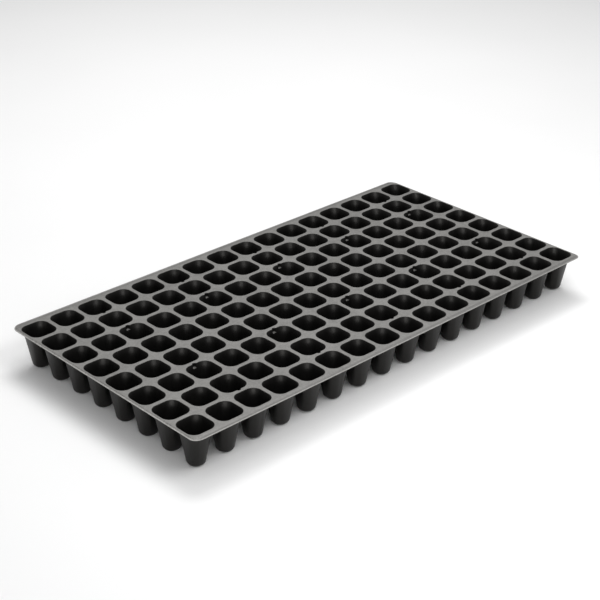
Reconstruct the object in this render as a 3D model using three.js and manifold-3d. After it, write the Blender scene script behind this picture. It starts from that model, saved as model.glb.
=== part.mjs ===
// Plug tray: one thermoformed sheet of black polystyrene with 16 x 8 tapered cells.
//
// The sheet is divided along the centre lines of its webs into sixteen rows of eight cells
// and four border strips. Millimetres, +Z up, X along the length. The origin is under the
// middle of the tray, on the plane that the cell bottoms stand on.

import * as THREE from 'three';
import { mergeVertices } from 'three/addons/utils/BufferGeometryUtils.js';
import Module from 'manifold-3d';

const wasm = await Module();
wasm.setup();

// Footprint and grid.
const LENGTH = 540;
const WIDTH = 280;
const HEIGHT = 40;
const ROWS = 16;
const CELLS_PER_ROW = 8;
const PITCH = 33.65;

// The deck, and the step down to the lip around it.
const DECK_THICKNESS = 1;
const LIP_WIDTH = 1.6;
const LIP_THICKNESS = 1;
const STEP_DROP = 0.6;
const STEP_RUN = 0.6;
const RIB_WIDTH = 3.2;
const TRAY_CORNER = 9;
const TRAY_CORNER_STEPS = 5;

// Border strips start here, and neighbouring regions stand this far apart.
const BORDER_AT_ENDS = 2;
const SEAM = 0.1;

// A cell: half its width and the radius of its corners, at the mouth and at the bottom.
const MOUTH = { half: 14.3, corner: 8.8 };
const FLOOR = { half: 7.5, corner: 6.8 };
const WALL = 0.5;
const CELL_CORNER_STEPS = 2;
const DRAIN_RADIUS = 3;
const DRAIN_SIDES = 6;

// Denest lugs: half-round notches in a cell's wall, at the top.
const LUG_RADIUS = 1.8;
const LUG_DEPTH = 4.2;
const LUG_SIDES = 8;
const FIRST_LUG_ROW = 2;
const LUG_ROW_STEP = 3;
const LUG_CELLS = [
  { cell: 1, side: -1 },
  { cell: 2, side: 1 },
  { cell: 5, side: 1 },
  { cell: 7, side: -1 },
];

const OVERCUT = 1;

const polystyrene = new THREE.MeshStandardMaterial({
  name: 'black_polystyrene',
  color: 0x2b2b2a,
  roughness: 0.55,
  metalness: 0,
});

// ---- Solids ----

function solidOf(geometry) {
  geometry.deleteAttribute('normal');
  geometry.deleteAttribute('uv');
  const merged = mergeVertices(geometry);
  return new wasm.Manifold(
    new wasm.Mesh({
      numProp: 3,
      vertProperties: merged.attributes.position.array,
      triVerts: new Uint32Array(merged.index.array),
    }),
  );
}

function meshOf(name, solid) {
  const { vertProperties, triVerts } = solid.getMesh();
  const geometry = new THREE.BufferGeometry();
  geometry.setAttribute('position', new THREE.BufferAttribute(vertProperties, 3));
  geometry.setIndex(new THREE.BufferAttribute(triVerts, 1));
  geometry.computeVertexNormals();
  const mesh = new THREE.Mesh(geometry, polystyrene);
  mesh.name = name;
  return mesh;
}

function box(low, high) {
  const size = high.map((value, axis) => value - low[axis]);
  const middle = high.map((value, axis) => (value + low[axis]) / 2);
  return solidOf(new THREE.BoxGeometry(...size).translate(...middle));
}

function upright(radius, sides, bottom, top) {
  const cylinder = new THREE.CylinderGeometry(radius, radius, top - bottom, sides);
  cylinder.rotateX(Math.PI / 2);
  return solidOf(cylinder.translate(0, 0, (top + bottom) / 2));
}

// The points of a rectangle with rounded corners, anticlockwise from the +X +Y corner.
function roundedRectangle({ halfX, halfY, corner }, steps) {
  const points = [];
  for (let quarter = 0; quarter < 4; quarter++) {
    const middle = new THREE.Vector2(halfX - corner, halfY - corner);
    middle.x *= quarter === 1 || quarter === 2 ? -1 : 1;
    middle.y *= quarter > 1 ? -1 : 1;
    for (let step = 0; step <= steps; step++) {
      const angle = ((quarter + step / steps) * Math.PI) / 2;
      const reach = new THREE.Vector2(Math.cos(angle), Math.sin(angle));
      points.push(reach.multiplyScalar(corner).add(middle));
    }
  }
  return points;
}

// A closed solid through rounded rectangles, from the lowest level to the highest.
function loft(levels, steps) {
  const outlines = levels.map((level) => roundedRectangle(level, steps));
  const bands = levels.length - 1;
  const geometry = new THREE.ExtrudeGeometry(new THREE.Shape(outlines[0]), {
    depth: bands,
    steps: bands,
    bevelEnabled: false,
  });
  const position = geometry.attributes.position;
  const vertex = new THREE.Vector2();
  for (let index = 0; index < position.count; index++) {
    const level = Math.round(position.getZ(index));
    vertex.fromBufferAttribute(position, index);
    const place = outlines[0].findIndex((point) => point.distanceTo(vertex) < 1e-3);
    const { x, y } = outlines[level][place];
    position.setXYZ(index, x, y, levels[level].z);
  }
  return solidOf(geometry);
}

// ---- The sheet without its cells ----

function trayOutline(inset, z) {
  const corner = Math.max(TRAY_CORNER - inset, 1);
  return { halfX: LENGTH / 2 - inset, halfY: WIDTH / 2 - inset, corner, z };
}

function makeSheet() {
  const lipTop = HEIGHT - STEP_DROP;
  const lipBottom = lipTop - LIP_THICKNESS;
  const deckBottom = HEIGHT - DECK_THICKNESS;
  const blank = loft(
    [
      trayOutline(0, lipBottom),
      trayOutline(0, lipTop),
      trayOutline(LIP_WIDTH, lipTop),
      trayOutline(LIP_WIDTH + STEP_RUN, HEIGHT),
    ],
    TRAY_CORNER_STEPS,
  );
  const underside = loft(
    [trayOutline(RIB_WIDTH, lipBottom - OVERCUT), trayOutline(RIB_WIDTH, deckBottom)],
    TRAY_CORNER_STEPS,
  );
  return blank.subtract(underside);
}

// ---- Cells ----

function cellLevel({ half, corner }, offset, z) {
  return { halfX: half + offset, halfY: half + offset, corner: corner + offset, z };
}

// The outside of a cell, up to the deck's upper face.
function makeCellBody() {
  const levels = [cellLevel(FLOOR, WALL, 0), cellLevel(MOUTH, WALL, HEIGHT)];
  return loft(levels, CELL_CORNER_STEPS);
}

// The space inside a cell, carried on above the deck at the same slope, and its drain hole.
function makeCellSpace() {
  const rise = OVERCUT / (HEIGHT - WALL);
  const above = {
    half: MOUTH.half + (MOUTH.half - FLOOR.half) * rise,
    corner: MOUTH.corner + (MOUTH.corner - FLOOR.corner) * rise,
  };
  const space = loft(
    [cellLevel(FLOOR, 0, WALL), cellLevel(above, 0, HEIGHT + OVERCUT)],
    CELL_CORNER_STEPS,
  );
  return space.add(upright(DRAIN_RADIUS, DRAIN_SIDES, -OVERCUT, WALL + OVERCUT));
}

const cellBody = makeCellBody();
const cellSpace = makeCellSpace();
const lugFloor = HEIGHT - LUG_DEPTH;
const lugBody = upright(LUG_RADIUS + WALL, LUG_SIDES, lugFloor - WALL, HEIGHT);
const lugSpace = upright(LUG_RADIUS, LUG_SIDES, lugFloor, HEIGHT + OVERCUT);

function cellY(cell) {
  return (cell - (CELLS_PER_ROW - 1) / 2) * PITCH;
}

function rowX(row) {
  return (row - (ROWS - 1) / 2) * PITCH;
}

function hasLugs(row) {
  return row % LUG_ROW_STEP === FIRST_LUG_ROW;
}

// ---- Rows and borders ----

const sheet = makeSheet();
const rowHalfLength = (CELLS_PER_ROW * PITCH) / 2;
const gridHalfLength = LENGTH / 2 - BORDER_AT_ENDS;

function sheetBetween(x0, x1, y0, y1) {
  const low = [x0 + SEAM / 2, y0 + SEAM / 2, 0];
  const high = [x1 - SEAM / 2, y1 - SEAM / 2, HEIGHT + OVERCUT];
  return sheet.intersect(box(low, high));
}

// One row of cells across the tray, about its own centre line.
function makeRow(row) {
  const x = rowX(row);
  const left = row === 0 ? -gridHalfLength : x - PITCH / 2;
  const right = row === ROWS - 1 ? gridHalfLength : x + PITCH / 2;
  let solid = sheetBetween(left, right, -rowHalfLength, rowHalfLength).translate(-x, 0, 0);
  for (let cell = 0; cell < CELLS_PER_ROW; cell++) {
    solid = solid.add(cellBody.translate(0, cellY(cell), 0));
  }
  const lugPlaces = hasLugs(row) ? LUG_CELLS : [];
  const lugYs = lugPlaces.map(({ cell, side }) => cellY(cell) + side * MOUTH.half);
  for (const y of lugYs) {
    solid = solid.add(lugBody.translate(0, y, 0));
  }
  for (let cell = 0; cell < CELLS_PER_ROW; cell++) {
    solid = solid.subtract(cellSpace.translate(0, cellY(cell), 0));
  }
  for (const y of lugYs) {
    solid = solid.subtract(lugSpace.translate(0, y, 0));
  }
  return solid;
}

function makeRows() {
  const rows = new THREE.Group();
  for (let row = 0; row < ROWS; row++) {
    const name = `cell_row_${String(row + 1).padStart(2, '0')}`;
    const mesh = meshOf(name, makeRow(row));
    mesh.position.x = rowX(row);
    rows.add(mesh);
  }
  return rows;
}

function makeBorders() {
  const endX = LENGTH / 2 + OVERCUT;
  const sideY = WIDTH / 2 + OVERCUT;
  const borders = new THREE.Group();
  borders.add(
    meshOf('border_front', sheetBetween(-endX, endX, -sideY, -rowHalfLength)),
    meshOf('border_back', sheetBetween(-endX, endX, rowHalfLength, sideY)),
    meshOf('border_left', sheetBetween(-endX, -gridHalfLength, -rowHalfLength, rowHalfLength)),
    meshOf('border_right', sheetBetween(gridHalfLength, endX, -rowHalfLength, rowHalfLength)),
  );
  return borders;
}

const tray = new THREE.Group();
tray.add(makeRows(), makeBorders());

export default tray;
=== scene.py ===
"""Looks of a 128-cell plug tray: one thin thermoformed sheet of black polystyrene.

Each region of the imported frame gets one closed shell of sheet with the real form's rounded
mouths, tapering cups, drain holes, denest lugs, shoulder and trimmed lip. Metres, row frame.
"""

import math

import bmesh
import bpy
import numpy as np
from mathutils import Matrix, Vector


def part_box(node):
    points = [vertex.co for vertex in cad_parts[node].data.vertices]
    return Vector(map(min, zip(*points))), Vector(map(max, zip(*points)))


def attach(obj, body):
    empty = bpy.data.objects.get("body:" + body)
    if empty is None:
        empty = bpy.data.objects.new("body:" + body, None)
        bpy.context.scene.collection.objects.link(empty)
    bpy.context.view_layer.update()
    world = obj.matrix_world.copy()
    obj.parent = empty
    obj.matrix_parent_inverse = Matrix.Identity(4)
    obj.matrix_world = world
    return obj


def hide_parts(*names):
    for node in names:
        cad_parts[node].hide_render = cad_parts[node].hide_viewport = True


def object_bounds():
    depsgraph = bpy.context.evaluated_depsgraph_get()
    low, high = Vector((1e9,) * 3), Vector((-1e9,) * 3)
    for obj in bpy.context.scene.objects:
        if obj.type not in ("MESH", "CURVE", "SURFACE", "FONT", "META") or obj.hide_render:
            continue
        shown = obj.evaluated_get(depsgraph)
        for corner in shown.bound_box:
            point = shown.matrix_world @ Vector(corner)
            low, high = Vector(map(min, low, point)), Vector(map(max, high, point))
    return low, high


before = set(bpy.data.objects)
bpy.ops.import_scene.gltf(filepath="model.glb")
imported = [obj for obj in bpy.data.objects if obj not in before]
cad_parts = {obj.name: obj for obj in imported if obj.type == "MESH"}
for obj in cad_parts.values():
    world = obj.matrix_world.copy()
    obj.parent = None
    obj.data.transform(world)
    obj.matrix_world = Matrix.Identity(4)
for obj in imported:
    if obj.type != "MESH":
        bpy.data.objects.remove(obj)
cad_low, cad_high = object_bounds()

MM = 0.001
# Places closer together than this many millimetres are the same place.
TOUCHING = 1e-3

# ---- Sizes of the tray, in millimetres ----

# A half is half the width of a square with round corners, and a round is a rounding's radius.
LENGTH, WIDTH, HEIGHT = ((cad_high - cad_low) / MM)[:]
ROWS = 16
CELLS = 8
PITCH = 33.65
HALF_PITCH = PITCH / 2
# The CAD's neighbouring regions each stop this far short of the line between them.
HALF_SEAM = 0.05
GRID_HALF_LENGTH = -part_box("cell_row_01")[0].x / MM + HALF_SEAM

# Thickness of the sheet at the deck and in the cells.
SHEET = 0.75
WALL = 0.5
# The wall of a cell is a straight taper. Above FLARE_START it opens out by FLARE more.
MOUTH_HALF = 14.4
FLOOR_HALF = 7.5
FLARE = 0.7
FLARE_START = 32.0
# Corner radii of its inner face at the mouth and at the bottom, and how much the flare
# takes off them. The outer face's radii are larger by a share of the wall.
MOUTH_CORNER = 8.7
FLOOR_CORNER = 7.2
FLARE_CORNER = 1.8
OUTER_CORNER_SHARE = 0.6
# The mouth's rounding. The deck's matte surface fades out over MATTE_STEPS of its steps.
MOUTH_ROUND = 0.6
MOUTH_STEPS = 7
MOUTH_WEAR = 0.03
MATTE_STEPS = 1.2
UNDER_ROUND = 0.35
UNDER_STEPS = 3
INNER_BOTTOM_ROUND = 4.0
OUTER_BOTTOM_ROUND = 4.5
BOTTOM_STEPS = 5
# Heights of the rings between the two roundings. Those near the top give way to a lug's.
INNER_TOP_LEVELS = (38.5, 37.2, 35.6)
INNER_LEVELS = (34.0, 32.0, 30.0, 26.0, 20.0, 14.0, 8.0)
OUTER_TOP_LEVELS = (37.0, 34.5)
OUTER_LEVELS = (30.0, 22.0, 14.0, 8.0)
DRAIN_RADIUS = 3.0
DRAIN_ROUND = 0.25
DRAIN_STEPS = 4
DRAIN_WEAR = 0.5

# Denest lugs: half-round notches in a wall, about a point LUG_MIDDLE from the cell's centre.
LUG_RADIUS = 2.1
LUG_MIDDLE = 13.9
LUG_WALL = 0.3
LUG_FLOOR = HEIGHT - 4.2
# Where they stand, as in the CAD source. The cells are pairs (cell, side of the cell in Y).
FIRST_LUG_ROW, LUG_ROW_STEP = 2, 3
LUG_CELLS = ((1, -1), (2, 1), (5, 1), (7, -1))
# The blend from a lug's arc to the wall: (distance beside the arc, distance past the wall).
LUG_BLEND = ((0.12, 0.08), (0.5, 0.0))

# The border: at the ends a soft shoulder falls to a trimmed lip, and along the sides a shallow
# groove lies inside the lip. A shoulder is an inset from the outline, like the lip's width.
TRAY_CORNER = 9.0
END_DROP = 0.8
SIDE_DROP = 0.05
SIDE_GROOVE = 0.3
LIP_WIDTH = 1.0
END_SHOULDER = 2.0
SIDE_SHOULDER = 5.0
SIDE_BORDER = WIDTH / 2 - CELLS * HALF_PITCH
END_BORDER = LENGTH / 2 - GRID_HALF_LENGTH
# The rim's drop begins to move points at the height DROP_START, and moves them by all of it
# from DROP_BLEND above that.
DROP_START = HEIGHT - 8
DROP_BLEND = 6
# The sheet's waviness: half its depth, and the sum of its waves' heights.
SAG = 0.07
WAVES = 1.95
# The tiles at the tray's four corners have more rings on the deck, to follow the border there.
CORNER_DECK_RINGS = 8
# Sharper bends than this many degrees are shaded as edges.
SHARP = 55

# ---- Columns of vertices round a cell, as directions from its centre ----


def direction_of(degrees):
    angle = math.radians(degrees)
    return (math.cos(angle), math.sin(angle))


# Columns over an eighth of a turn, in degrees: few across a wall, more round its corner.
PLAIN_OCTANT = (0, 12, 23.5, 29, 34.5, 40, 45)
FINE_OCTANT = (0, 12, 23.5, 27, 30.5, 34, 36.5, 39, 41, 43, 45)
# Columns on each side of a lug's middle. The first ones, up to LUG_ARC_STEPS, lie on its arc,
# and the other two on the blend beside it. One more column stands BESIDE_LUG from the middle.
LUG_STEPS = (0, 3.3, 6.1, 8.0, 8.7, 9.6, 11.5)
LUG_ARC_STEPS = 4
BESIDE_LUG = 16
# Columns on each side of an outer corner of the tray's end rows.
CORNER_STEPS = (-14, -10, -6, -4, -2, 0, 2, 4, 6)
# The usual columns give way this many degrees round a lug and round a corner of the deck.
CLEAR_OF_LUG = 13
CLEAR_OF_CORNER = 12


def all_round(octant):
    """The octant's angles mirrored to the whole turn, in degrees."""
    found = set()
    for angle in octant:
        for quarter in range(4):
            found.add(round(90 * quarter + angle, 4) % 360)
            found.add(round(90 * quarter - angle, 4) % 360)
    return sorted(found)


def lug_row_angles():
    """Plain columns, with finer ones across the middles of the two walls that may have lugs."""
    plain = all_round(PLAIN_OCTANT)
    kept = [a for a in plain if min(abs(a - 90), abs(a - 270)) > CLEAR_OF_LUG]
    for middle in (90, 270):
        for step in LUG_STEPS:
            kept += [middle - step, middle + step]
        kept += [middle - BESIDE_LUG, middle + BESIDE_LUG]
    return sorted(set(round(a, 4) for a in kept))


def end_row_angles(outer_half):
    """Fine columns, with the tile's two outer corners among them; the outer side is -X."""
    corner = math.degrees(math.atan2(HALF_PITCH, outer_half))
    angles = [a for a in all_round(FINE_OCTANT) if abs(abs(a - 180) - 45) > CLEAR_OF_CORNER]
    for step in CORNER_STEPS:
        angles += [180 - corner - step, 180 + corner + step]
    return sorted(set(round(a, 4) for a in angles))


# ---- Sections ----


def rounded_square(directions, half, corner):
    """Where the rays along directions meet a square with rounded corners."""
    ax, ay = np.abs(directions[:, 0]), np.abs(directions[:, 1])
    flat = half / np.maximum(ax, ay)
    middle = half - corner
    along = (ax + ay) * middle
    inside = np.maximum(along**2 - (2 * middle**2 - corner**2), 0)
    on_flat = np.minimum(ax, ay) * flat <= middle
    reach = np.where(on_flat, flat, along + np.sqrt(inside))
    return directions * reach[:, None]


def rectangle(directions, low_x, high_x, half_y):
    """Where the rays along directions meet the rectangle round a tile."""
    dx, dy = directions[:, 0], directions[:, 1]
    with np.errstate(divide="ignore"):
        reach_x = np.where(dx > 0, high_x, low_x) / np.where(np.abs(dx) < 1e-9, 1e-9, dx)
        reach_y = half_y / np.maximum(np.abs(dy), 1e-9)
    return directions * np.minimum(np.abs(reach_x), reach_y)[:, None]


def lug_point(wall, radius, step):
    """A lug's outline at one column, as (distance from its middle, distance from the cell's)."""
    lean = min(max((wall - LUG_MIDDLE) / radius, 0), 1)
    widest = math.acos(lean)
    if step <= LUG_ARC_STEPS:
        turn = widest * step / LUG_ARC_STEPS
        return radius * math.sin(turn), LUG_MIDDLE + radius * math.cos(turn)
    beside, beyond = LUG_BLEND[step - LUG_ARC_STEPS - 1]
    return radius * math.sin(widest) + beside, wall + beyond


def add_lugs(points, angles, wall, radius, strength, sides):
    """Pushes the columns at the middle of a wall out to the outline of its lug."""
    for side in sides:
        middle = 90 if side > 0 else 270
        for index, angle in enumerate(angles):
            away = round(abs(angle - middle), 4)
            if away not in LUG_STEPS:
                continue
            across, out = lug_point(wall, radius, LUG_STEPS.index(away))
            hand = side if angle < middle else -side
            target = np.array((hand * across, side * out))
            points[index] += (target - points[index]) * strength


class Ring:
    """One level of a cell's shell: a rounded square at a height, with its lug if it has one.

    lug_strength goes from the plain wall at 0 to the full lug at 1. wear and matte hold for the
    whole level, and ledge is how matte it is inside a lug, which gives the ledge the deck's
    lighter grey as a painted highlight.
    """

    def __init__(
        self, half, corner, z, wear_and_highlight=0.0, matte_and_painted_light=0.0, lug_radius=None, lug_strength=1.0, ledge_highlight=0.0
    ):
        self.half = half
        self.corner = min(corner, half)
        self.z = z
        self.wear_and_highlight = wear_and_highlight
        self.matte_and_painted_light = matte_and_painted_light
        self.lug_radius = lug_radius
        self.lug_strength = lug_strength
        self.ledge_highlight = ledge_highlight

    def points(self, directions, angles, sides):
        found = rounded_square(directions, self.half, self.corner)
        if self.lug_radius and sides:
            add_lugs(found, angles, self.half, self.lug_radius, self.lug_strength, sides)
        return found

    def dullness_and_painted_light(self, angles, sides):
        """How matte each column is, with a painted highlight: a lug's ledge takes the deck's
        lighter grey.
        """
        middles = [90 if side > 0 else 270 for side in sides]
        on_ledge = [any(abs(a - m) <= LUG_STEPS[LUG_ARC_STEPS] for m in middles) for a in angles]
        return np.where(on_ledge, max(self.ledge_highlight, self.matte_and_painted_light), self.matte_and_painted_light)


def inner_wall(z):
    """Half the width and the corner radius of the space in a cell at height z."""
    share = (z - WALL) / (HEIGHT - WALL)
    flare = max((z - FLARE_START) / (HEIGHT - FLARE_START), 0) ** 2
    half = FLOOR_HALF + (MOUTH_HALF - FLARE - FLOOR_HALF) * share + FLARE * flare
    corner_gain = MOUTH_CORNER + FLARE_CORNER - FLOOR_CORNER
    return half, FLOOR_CORNER + corner_gain * share - FLARE_CORNER * flare


def outer_wall(z):
    """The same of the outside of a cell."""
    half, corner = inner_wall(WALL + z * (HEIGHT - WALL) / HEIGHT)
    return half + WALL, corner + WALL * OUTER_CORNER_SHARE


def draft_at(wall, z):
    """The angle between a wall and the vertical at height z."""
    return math.atan(wall(z)[0] - wall(z - 1)[0])


def inner_ring(z):
    return Ring(*inner_wall(z), z)


def outer_ring(z):
    return Ring(*outer_wall(z), z)


def top_rounding(wall, radius, top, steps, lug_radius, wear_and_highlight):
    """Rings from a flat face down round a convex edge to the tangent point on the wall."""
    draft = draft_at(wall, top - radius)
    touch_z = top - radius * (1 - math.sin(draft))
    wall_half, wall_corner = wall(touch_z)
    centre = wall_half + radius * math.cos(draft)
    rings = []
    for step in range(steps + 1):
        turn = (math.pi / 2 - draft) * step / steps
        half = centre - radius * math.sin(turn)
        corner = wall_corner + half - wall_half
        z = top - radius * (1 - math.cos(turn))
        lug = lug_radius and lug_radius + half - wall_half
        worn_and_highlight = wear_and_highlight * math.sin(math.pi * step / steps)
        matte_and_painted_light = max(1 - step / MATTE_STEPS, 0)
        rings.append(Ring(half, corner, z, worn_and_highlight, matte_and_painted_light, lug))
    return rings


def bottom_rounding(wall, radius, bottom, steps):
    """Rings from the wall down round to a flat, round bottom."""
    draft = draft_at(wall, bottom + radius)
    touch_z = bottom + radius * (1 - math.sin(draft))
    wall_half, wall_corner = wall(touch_z)
    centre = wall_half - radius * math.cos(draft)
    rings = []
    for step in range(steps + 1):
        turn = draft + (math.pi / 2 - draft) * step / steps
        half = centre + radius * math.cos(turn)
        z = bottom + radius * (1 - math.sin(turn))
        roundness = (wall_half - half) / (wall_half - centre)
        corner = (wall_corner / wall_half * (1 - roundness) + roundness) * half
        rings.append(Ring(half, corner, z))
    return rings


def drain_rings():
    """Round the rim of the drain hole, from the inner floor to the underside."""
    rings = []
    for step in range(DRAIN_STEPS + 1):
        turn = math.pi * step / DRAIN_STEPS
        radius = DRAIN_RADIUS + DRAIN_ROUND * (1 - math.sin(turn))
        z = WALL / 2 + DRAIN_ROUND * math.cos(turn)
        rings.append(Ring(radius, radius, z, DRAIN_WEAR * math.sin(turn)))
    return rings


def lug_ledge(wall, radius, floor):
    """Rings down a lug's side, round its floor and back to the wall.

    Each level is (height above the floor, change of radius, how fully it is a lug, ledge, the
    share of the deck's lighter grey painted on the ledge as a highlight).
    """
    levels = (
        (2.0, 0.0, 1.0, 0.0),
        (0.6, -0.02, 1.0, 0.0),
        (0.18, -0.12, 1.0, 0.3),
        (0.0, -0.42, 1.0, 1.0),
        (-0.03, -0.42, 0.55, 1.0),
        (-0.1, -0.42, 0.12, 0.6),
        (-0.3, -0.42, 0.0, 0.0),
    )
    rings = []
    for up, grow, strength, ledge_highlight in levels:
        z = floor + up
        facts = {"lug_radius": radius + grow, "lug_strength": strength, "ledge_highlight": ledge_highlight}
        rings.append(Ring(*wall(z), z, **facts))
    return rings


def upper_rings(with_lugs):
    """The upper face: mouth, wall and floor, as far as the drain hole."""
    lug_radius = with_lugs and LUG_RADIUS
    rings = top_rounding(inner_wall, MOUTH_ROUND, HEIGHT, MOUTH_STEPS, lug_radius, MOUTH_WEAR)
    if with_lugs:
        rings += lug_ledge(inner_wall, LUG_RADIUS, LUG_FLOOR)
    else:
        rings += [inner_ring(z) for z in INNER_TOP_LEVELS]
    rings += [inner_ring(z) for z in INNER_LEVELS]
    return rings + bottom_rounding(inner_wall, INNER_BOTTOM_ROUND, WALL, BOTTOM_STEPS)


def lower_rings(with_lugs):
    """The underside, from the drain hole up to the deck's lower face."""
    radius = LUG_RADIUS + LUG_WALL
    below_deck = HEIGHT - SHEET
    lug_radius = with_lugs and radius
    rings = top_rounding(outer_wall, UNDER_ROUND, below_deck, UNDER_STEPS, lug_radius, 0.0)
    if with_lugs:
        rings += lug_ledge(outer_wall, radius, LUG_FLOOR - WALL)
    else:
        rings += [outer_ring(z) for z in OUTER_TOP_LEVELS]
    rings += [outer_ring(z) for z in OUTER_LEVELS]
    rings += bottom_rounding(outer_wall, OUTER_BOTTOM_ROUND, 0.0, BOTTOM_STEPS)
    return rings[::-1]


# ---- Shape of the whole sheet ----


def inset_at(x, y):
    """How far a point stands inside the tray's outline, and how much it belongs to a long side."""
    qx = np.abs(x) - (LENGTH / 2 - TRAY_CORNER)
    qy = np.abs(y) - (WIDTH / 2 - TRAY_CORNER)
    outside = np.hypot(np.maximum(qx, 0), np.maximum(qy, 0))
    inset = TRAY_CORNER - outside - np.minimum(np.maximum(qx, qy), 0)
    turn = np.arctan2(np.maximum(qy, 0), np.maximum(qx, 1e-6)) / (math.pi / 2)
    long_side = np.where(qx <= 0, (qy > qx).astype(float), turn)
    return inset, long_side


def smooth(share):
    share = np.clip(share, 0, 1)
    return share * share * (3 - 2 * share)


def drop_at(x, y):
    """How far the sheet lies below the deck's level: nothing on the deck, all of it on the lip."""
    inset, long_side = inset_at(x, y)
    share = smooth(long_side)
    start = END_SHOULDER + (SIDE_SHOULDER - END_SHOULDER) * share
    across = np.clip((start - inset) / (start - LIP_WIDTH), 0, 1)
    drop = END_DROP + (SIDE_DROP - END_DROP) * share
    return drop * smooth(across) + SIDE_GROOVE * share * np.sin(math.pi * across) ** 2


def sag_at(x, y):
    """The slight, slow waviness of a thin formed sheet. Never above the nominal level."""
    wave = (
        np.sin(x / 61.0 + 0.7) * np.cos(y / 43.0 - 0.4)
        + 0.6 * np.sin(x / 27.0 - y / 33.0 + 1.9)
        + 0.35 * np.cos(x / 16.5 + y / 21.0)
    )
    return SAG * (WAVES + wave) / WAVES


def settle(points):
    """Moves the sheet down by its drop at the rim and its waviness; the cups' feet stay put."""
    x, y, z = points.T
    high = smooth((z - DROP_START) / DROP_BLEND)
    points[:, 2] = z - drop_at(x, y) * high - sag_at(x, y) * z / HEIGHT
    return points


# ---- Meshes ----


def quads_between(first, second, count):
    """Faces between two rings of count vertices that start at indices first and second."""
    index = np.arange(count)
    after = (index + 1) % count
    return np.stack([first + index, first + after, second + after, second + index], axis=1)


def tile(angles, low_x, high_x, sides, deck_rings):
    """One cell's shell as outlines (points, z, wear, matte with any painted ledge highlight),
    border to drain hole and back.
    """
    directions = np.array([direction_of(a) for a in angles])
    border = rectangle(directions, low_x, high_x, HALF_PITCH)
    rings = upper_rings(bool(sides)) + drain_rings() + lower_rings(bool(sides))
    levels = []
    for ring in rings:
        outline = ring.points(directions, angles, sides)
        levels.append((outline, ring.z, ring.wear_and_highlight, ring.dullness_and_painted_light(angles, sides)))
    mouth, under = levels[0][0], levels[-1][0]
    shares = np.linspace(1, 0, deck_rings, endpoint=False)
    above = [(mouth + (border - mouth) * s, HEIGHT, 0.0, 1.0) for s in shares]
    below = [(under + (border - under) * s, HEIGHT - SHEET, 0.0, 1.0) for s in shares[::-1]]
    return above + levels + below


def cut_edges(border, low_x, high_x, cell):
    """Which edges of a tile's border lie on the row's own outline."""
    middle = (border + np.roll(border, -1, axis=0)) / 2
    cut = np.abs(middle[:, 0] - low_x) < TOUCHING
    cut |= np.abs(middle[:, 0] - high_x) < TOUCHING
    if cell == 0:
        cut |= np.abs(middle[:, 1] + HALF_PITCH) < TOUCHING
    if cell == CELLS - 1:
        cut |= np.abs(middle[:, 1] - HALF_PITCH) < TOUCHING
    return cut


def row_layout(row):
    """The row's columns, and how far its tiles reach from their centre line."""
    low_x, high_x = -HALF_PITCH, HALF_PITCH
    outer_half = GRID_HALF_LENGTH - (ROWS - 1) * HALF_PITCH
    if row == 0:
        return end_row_angles(outer_half), -outer_half, high_x
    if row == ROWS - 1:
        mirrored = sorted(round((180 - a) % 360, 4) for a in end_row_angles(outer_half))
        return mirrored, low_x, outer_half
    if row % LUG_ROW_STEP == FIRST_LUG_ROW:
        return lug_row_angles(), low_x, high_x
    return all_round(PLAIN_OCTANT), low_x, high_x


def row_shell(row):
    """Points, wear, matte (with the lugs' painted ledge highlight) and faces of a row of eight
    cells.
    """
    angles, low_x, high_x = row_layout(row)
    count = len(angles)
    x = (row - (ROWS - 1) / 2) * PITCH
    points, wear_and_highlight, matte_and_painted_light, faces = [], [], [], []
    start = 0
    for cell in range(CELLS):
        y = (cell - (CELLS - 1) / 2) * PITCH
        has_lugs = row % LUG_ROW_STEP == FIRST_LUG_ROW
        sides = [side for place, side in LUG_CELLS if has_lugs and place == cell]
        at_corner = row in (0, ROWS - 1) and cell in (0, CELLS - 1)
        levels = tile(angles, low_x, high_x, sides, CORNER_DECK_RINGS if at_corner else 1)
        for outline, z, worn_and_highlight, dull_and_painted_light in levels:
            points.append(np.column_stack([outline + (x, y), np.full(count, z)]))
            wear_and_highlight.append(np.full(count, worn_and_highlight))
            matte_and_painted_light.append(np.broadcast_to(dull_and_painted_light, count))
        for level in range(len(levels) - 1):
            first = start + level * count
            faces.append(quads_between(first, first + count, count))
        last = start + (len(levels) - 1) * count
        cut = cut_edges(levels[0][0], low_x, high_x, cell)
        faces.append(quads_between(last, start, count)[cut])
        start += len(levels) * count
    joined = [np.concatenate(part) for part in (points, wear_and_highlight, matte_and_painted_light)]
    return *joined, np.concatenate(faces).tolist()


# The trimmed edge of the lip: (inset from the outline, share of the sheet below its top, wear and
# painted highlight).
EDGE_SECTION = (
    (0.72, 0.0, 0.2),
    (0.5, 0.03, 0.8),
    (0.3, 0.1, 1.0),
    (0.12, 0.22, 1.0),
    (0.03, 0.36, 1.0),
    (0.0, 0.5, 1.0),
    (0.0, 0.74, 0.9),
    (0.04, 0.86, 0.5),
    (0.14, 0.96, 0.2),
    (0.3, 1.0, 0.0),
    (0.5, 1.0, 0.0),
)
# The shoulder is a little smoother than the deck, and darker: a painted shade on its slope and
# groove. It is also worn, and the wear is lightened into a painted highlight. The long sides take
# less of this wear and highlight than the ends, by the loss below.
SHOULDER_MATTE_AND_SHADE = 0.58
SHOULDER_WEAR_AND_HIGHLIGHT = 0.5
SIDE_WEAR_AND_HIGHLIGHT_LOSS = 0.36
# Places across the shoulder, the nearest that one may come to the strip's inner edge, and
# steps round a corner of the tray.
SLOPE_PLACES = 7
CLEAR_OF_EDGE = 0.05
TURN_STEPS = 12


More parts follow.
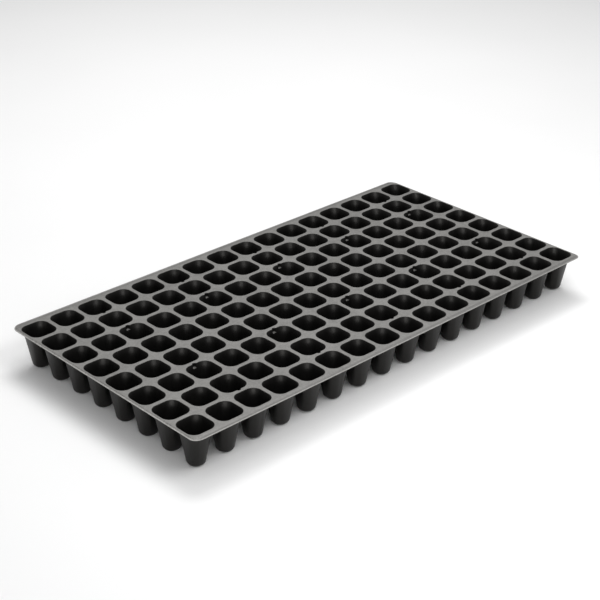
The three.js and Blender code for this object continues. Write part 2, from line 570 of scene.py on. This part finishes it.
def border_section(width, shoulder):
    """The strip's closed section: over the top, round the lip and back under.

    Each place is (inset from the outline, distance below the top face, wear with its painted
    highlight, matte with its painted shade).
    """
    slope = np.linspace(shoulder, LIP_WIDTH, SLOPE_PLACES).tolist()
    # The shoulder's lower matte darkens it, a painted shade; its wear paints a highlight.
    matte_and_shade = [1.0, *[SHOULDER_MATTE_AND_SHADE] * (SLOPE_PLACES - 2), 1.0]
    worn_and_highlight = [0.0, *[SHOULDER_WEAR_AND_HIGHLIGHT] * (SLOPE_PLACES - 1)]
    places = [place for place in zip(slope, worn_and_highlight, matte_and_shade) if place[0] < width - CLEAR_OF_EDGE]
    inner = [(width, 0.0, 1.0), *places, (LIP_WIDTH * 0.9, SHOULDER_WEAR_AND_HIGHLIGHT, 1.0)]
    top = [(inset, 0.0, wear_and_highlight, matte_and_painted_light) for inset, wear_and_highlight, matte_and_painted_light in inner]
    edge = [(inset, share * SHEET, wear_and_highlight, 1.0) for inset, share, wear_and_highlight in EDGE_SECTION]
    under = [(inset, SHEET, 0.0, 1.0) for inset, _, _ in inner[::-1]]
    return top + edge + under


def border_shell(half_along, half_across, width, shoulder, reach, steps):
    """A strip along +X at -Y: points in its own axes, wear with its painted highlight, matte with
    its painted shade, and faces.

    It goes round the tray's corners until it is reach beyond their centres.
    """
    section = border_section(width, shoulder)
    limit = half_across - width
    straight = half_along - TRAY_CORNER
    turn_end = math.acos(reach / TRAY_CORNER)
    turns = np.linspace(math.pi / 2, turn_end, TURN_STEPS)[1:]
    bend = straight + TRAY_CORNER * np.cos(turns)
    middle = np.linspace(-straight, straight, steps)
    along = np.concatenate([-bend[::-1], middle, bend])
    points = []
    for place in along:
        past = max(abs(place) - straight, 0)
        for inset, below, _, _ in section:
            radius = TRAY_CORNER - inset
            out = half_across - TRAY_CORNER + math.sqrt(max(radius**2 - past**2, 0))
            points.append((place, -max(out, limit), HEIGHT - below))
    count = len(section)
    faces = [quads_between(k * count, (k + 1) * count, count) for k in range(len(along) - 1)]
    faces = np.concatenate(faces).tolist()
    last = (len(along) - 1) * count
    faces += [list(range(count))[::-1], list(range(last, last + count))]
    wear_and_highlight = np.tile([place[2] for place in section], len(along))
    matte_and_painted_light = np.tile([place[3] for place in section], len(along))
    return np.array(points), wear_and_highlight, matte_and_painted_light, faces


def make_piece(name, node, points, wear_and_highlight, matte_and_painted_light, faces, material):
    """A closed, smooth-shaded mesh that stands for one CAD node."""
    mesh = bpy.data.meshes.new(name)
    mesh.from_pydata((settle(points) * MM).tolist(), [], faces)
    for layer_name, values in (("wear_and_highlight", wear_and_highlight), ("matte_and_painted_light", matte_and_painted_light)):
        layer = mesh.attributes.new(layer_name, "FLOAT", "POINT")
        layer.data.foreach_set("value", values.astype(np.float32))
    work = bmesh.new()
    work.from_mesh(mesh)
    bmesh.ops.remove_doubles(work, verts=work.verts, dist=TOUCHING * MM)
    bmesh.ops.recalc_face_normals(work, faces=work.faces)
    work.to_mesh(mesh)
    work.free()
    mesh.shade_smooth()
    mesh.set_sharp_from_angle(angle=math.radians(SHARP))
    mesh.materials.append(material)
    piece = bpy.data.objects.new(name, mesh)
    bpy.context.scene.collection.objects.link(piece)
    shading = piece.modifiers.new("flat_faces_first", "WEIGHTED_NORMAL")
    shading.keep_sharp = True
    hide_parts(node)
    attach(piece, "root")


# ---- Material ----


class Graph:
    """Adds nodes to a material's tree; a socket given as an input is linked."""

    def __init__(self, tree):
        self.tree = tree

    def add(self, kind, inputs=(), **settings):
        node = self.tree.nodes.new(kind)
        for key, value in settings.items():
            setattr(node, key, value)
        for key, value in dict(inputs).items():
            if isinstance(value, bpy.types.NodeSocket):
                self.tree.links.new(value, node.inputs[key])
            else:
                node.inputs[key].default_value = value
        return node

    def noise(self, vector, scale, detail=3.0, roughness=0.5):
        inputs = {"Vector": vector, "Scale": scale, "Detail": detail, "Roughness": roughness}
        return self.add("ShaderNodeTexNoise", inputs).outputs["Fac"]

    def ramp(self, value, low, high, to_low=0.0, to_high=1.0):
        inputs = {
            "Value": value,
            "From Min": low,
            "From Max": high,
            "To Min": to_low,
            "To Max": to_high,
        }
        return self.add("ShaderNodeMapRange", inputs).outputs["Result"]

    def math(self, operation, first, second):
        node = self.add("ShaderNodeMath", {0: first, 1: second}, operation=operation)
        return node.outputs[0]

    def mix_value(self, factor, first, second):
        inputs = {0: factor, 2: first, 3: second}
        return self.add("ShaderNodeMix", inputs, data_type="FLOAT").outputs[0]

    def mix_colour(self, factor, first, second):
        inputs = {0: factor, 6: first, 7: second}
        return self.add("ShaderNodeMix", inputs, data_type="RGBA").outputs[2]

    def stretched(self, vector, scale):
        return self.add("ShaderNodeMapping", {"Vector": vector, "Scale": scale}).outputs[0]


# Base colours: the cups and the deck vary between a dark and a light one.
CUP_DARK = (0.0030, 0.0028, 0.0027, 1)
CUP_LIGHT = (0.0065, 0.0062, 0.0059, 1)
DECK_DARK = (0.110, 0.108, 0.104, 1)
DECK_LIGHT = (0.225, 0.221, 0.212, 1)
# A light grey for rubbed edges, made lighter still to paint the highlight along the lip and
# shoulder.
WORN_AND_HIGHLIGHT = (0.520, 0.510, 0.492, 1)


def polystyrene():
    """Black polystyrene: matte, grained and grey on the deck, darker and glossier in the cups."""
    material = bpy.data.materials.new("black_polystyrene_formed")
    material.use_nodes = True
    graph = Graph(material.node_tree)
    shader = material.node_tree.nodes["Principled BSDF"]
    shader.inputs["Specular IOR Level"].default_value = 0.31
    shader.inputs["Specular Tint"].default_value = (1.0, 0.975, 0.935, 1)
    place = graph.add("ShaderNodeTexCoord").outputs["Object"]
    # The matte share greys the deck, and also paints shade on the rim's shoulder and a highlight
    # on the lugs' ledges. The wear share also paints the highlight along the rim.
    deck_and_painted_light = graph.add("ShaderNodeAttribute", attribute_name="matte_and_painted_light").outputs["Fac"]
    wear_and_highlight = graph.add("ShaderNodeAttribute", attribute_name="wear_and_highlight").outputs["Fac"]

    # Noise from patches of several centimetres down to a grain under a millimetre, and
    # streaks up the walls where the sheet was drawn.
    cloud = graph.ramp(graph.noise(place, 18, 4, 0.6), 0.3, 0.7)
    blotch = graph.ramp(graph.noise(place, 150, 3, 0.6), 0.3, 0.7)
    fleck = graph.ramp(graph.noise(place, 480, 2, 0.6), 0.3, 0.7)
    pores = graph.noise(place, 700, 3, 0.7)
    grain = graph.noise(place, 1700, 2, 0.6)
    drawn = graph.noise(graph.stretched(place, (260, 260, 14)), 1, 3, 0.6)

    tone = graph.math("MULTIPLY", cloud, 0.3)
    tone = graph.math("ADD", tone, graph.math("MULTIPLY", blotch, 0.35))
    tone = graph.math("ADD", tone, graph.math("MULTIPLY", fleck, 0.35))
    cup_colour = graph.mix_colour(tone, CUP_DARK, CUP_LIGHT)
    deck_colour = graph.mix_colour(tone, DECK_DARK, DECK_LIGHT)
    colour = graph.mix_colour(deck_and_painted_light, cup_colour, deck_colour)
    # Worn places fade to that light grey and turn glossier: rubbed wear, and a painted highlight
    # along the rim.
    worn_and_highlight = graph.math("MULTIPLY", wear_and_highlight, graph.ramp(pores, 0.35, 0.65, 0.25, 0.9))
    colour = graph.mix_colour(worn_and_highlight, colour, WORN_AND_HIGHLIGHT)
    material.node_tree.links.new(colour, shader.inputs["Base Color"])

    cup_rough = graph.ramp(drawn, 0.3, 0.7, 0.29, 0.40)
    deck_rough = graph.ramp(grain, 0.3, 0.7, 0.40, 0.52)
    rough = graph.mix_value(worn_and_highlight, graph.mix_value(deck_and_painted_light, cup_rough, deck_rough), 0.22)
    material.node_tree.links.new(rough, shader.inputs["Roughness"])

    fine = graph.mix_value(deck_and_painted_light, graph.math("MULTIPLY", drawn, 1.6), grain)
    relief = graph.math("ADD", fine, graph.math("MULTIPLY", pores, 0.5))
    bump = graph.add("ShaderNodeBump", {"Height": relief, "Strength": 0.35, "Distance": 0.00006})
    material.node_tree.links.new(bump.outputs[0], shader.inputs["Normal"])
    return material


def floor_paper():
    """Pale, matte studio paper."""
    material = bpy.data.materials.new("pale_paper")
    material.use_nodes = True
    graph = Graph(material.node_tree)
    shader = material.node_tree.nodes["Principled BSDF"]
    place = graph.add("ShaderNodeTexCoord").outputs["Object"]
    mottle = graph.ramp(graph.noise(place, 3, 2), 0.3, 0.7)
    colour = graph.mix_colour(mottle, (0.86, 0.86, 0.86, 1), (0.88, 0.88, 0.88, 1))
    material.node_tree.links.new(colour, shader.inputs["Base Color"])
    shader.inputs["Roughness"].default_value = 0.9
    return material


# ---- Build ----

plastic = polystyrene()
for row in range(ROWS):
    label = f"cell_row_{row + 1:02d}"
    make_piece(f"formed_{label}", label, *row_shell(row), plastic)

# The seam between a long strip and an end strip meets the tray's outline this far round its
# corner, as distances from the corner's centre along the tray and across it.
SEAM_ACROSS = TRAY_CORNER - SIDE_BORDER
SEAM_ALONG = math.sqrt(TRAY_CORNER**2 - SEAM_ACROSS**2)
quarter = np.array([[0, 1], [-1, 0]])
# Each strip's node, quarter turns, length, distance to its opposite, width, shoulder, reach
# round the corners and number of steps.
strips = (
    ("border_front", 0, LENGTH, WIDTH, SIDE_BORDER, SIDE_SHOULDER, SEAM_ALONG, 90),
    ("border_right", 1, WIDTH, LENGTH, END_BORDER, END_SHOULDER, SEAM_ACROSS, 46),
    ("border_back", 2, LENGTH, WIDTH, SIDE_BORDER, SIDE_SHOULDER, SEAM_ALONG, 90),
    ("border_left", 3, WIDTH, LENGTH, END_BORDER, END_SHOULDER, SEAM_ACROSS, 46),
)
for node, turns, along, across, width, shoulder, reach, steps in strips:
    strip = border_shell(along / 2, across / 2, width, shoulder, reach, steps)
    points, wear_and_highlight, matte_and_painted_light, faces = strip
    points[:, :2] = points[:, :2] @ np.linalg.matrix_power(quarter, turns)
    # The long sides keep less of the wear and painted highlight than the ends.
    long_side = smooth(inset_at(points[:, 0], points[:, 1])[1])
    wear_and_highlight = np.maximum(wear_and_highlight - SIDE_WEAR_AND_HIGHLIGHT_LOSS * long_side, 0)
    make_piece(f"formed_{node}", node, points, wear_and_highlight, matte_and_painted_light, faces, plastic)

# ---- Stage, light and camera ----


def area_light(name, place, aim, size, power):
    data = bpy.data.lights.new(name, "AREA")
    data.shape = "RECTANGLE"
    data.size, data.size_y = size
    data.energy = power
    lamp = bpy.data.objects.new(name, data)
    lamp.location = place
    lamp.rotation_euler = (Vector(aim) - Vector(place)).to_track_quat("-Z", "Y").to_euler()
    bpy.context.scene.collection.objects.link(lamp)


PAPER_HALF = 6.0
PAPER_GAP = 0.0003
signs = ((-1, -1), (1, -1), (1, 1), (-1, 1))
paper_corners = [(x * PAPER_HALF, y * PAPER_HALF, 0) for x, y in signs]
floor_mesh = bpy.data.meshes.new("floor")
floor_mesh.from_pydata(paper_corners, [], [(0, 1, 2, 3)])
floor_mesh.materials.append(floor_paper())
floor = bpy.data.objects.new("floor", floor_mesh)
floor.location.z = -PAPER_GAP
bpy.context.scene.collection.objects.link(floor)

# Places and sizes in metres, powers in watts, balanced against the photo's tones.
area_light("key", (0.0, -0.42, 0.60), (0.0, -0.15, 0.03), (0.4, 0.3), 1.8)
area_light("fill", (-1.0, -1.0, 1.0), (0.0, 0.0, 0.0), (0.8, 0.5), 2.0)
area_light("low_fill", (-1.15, -1.15, 0.62), (0.0, 0.0, 0.02), (1.2, 0.5), 4.2)
area_light("top", (0.0, -0.05, 1.5), (0.0, 0.0, 0.03), (0.9, 0.6), 3.2)
area_light("back", (0.58, 0.66, 1.40), (-0.1, -0.08, 0.0), (0.9, 0.6), 14.5)

world = bpy.data.worlds.new("studio")
world.use_nodes = True
world.node_tree.nodes["Background"].inputs["Color"].default_value = (1, 1, 1, 1)
world.node_tree.nodes["Background"].inputs["Strength"].default_value = 0.4
bpy.context.scene.world = world
bpy.context.scene.view_settings.view_transform = "Standard"

# The photo's viewpoint, with its angles in degrees and the lens in millimetres.
VIEW_PLACE = (-0.9490, -0.9752, 0.7373)
VIEW_HEADING, VIEW_DROP, VIEW_ROLL = 46.226, 27.538, 0.547
SENSOR_WIDTH, LENS = 36.0, 89.6
camera_data = bpy.data.cameras.new("camera")
camera_data.sensor_width = SENSOR_WIDTH
camera_data.lens = LENS
camera = bpy.data.objects.new("camera", camera_data)
turned = (
    Matrix.Rotation(math.radians(VIEW_HEADING - 90), 4, "Z")
    @ Matrix.Rotation(math.radians(90 - VIEW_DROP), 4, "X")
    @ Matrix.Rotation(math.radians(VIEW_ROLL), 4, "Z")
)
camera.matrix_world = Matrix.Translation(VIEW_PLACE) @ turned
bpy.context.scene.collection.objects.link(camera)
bpy.context.scene.camera = camera
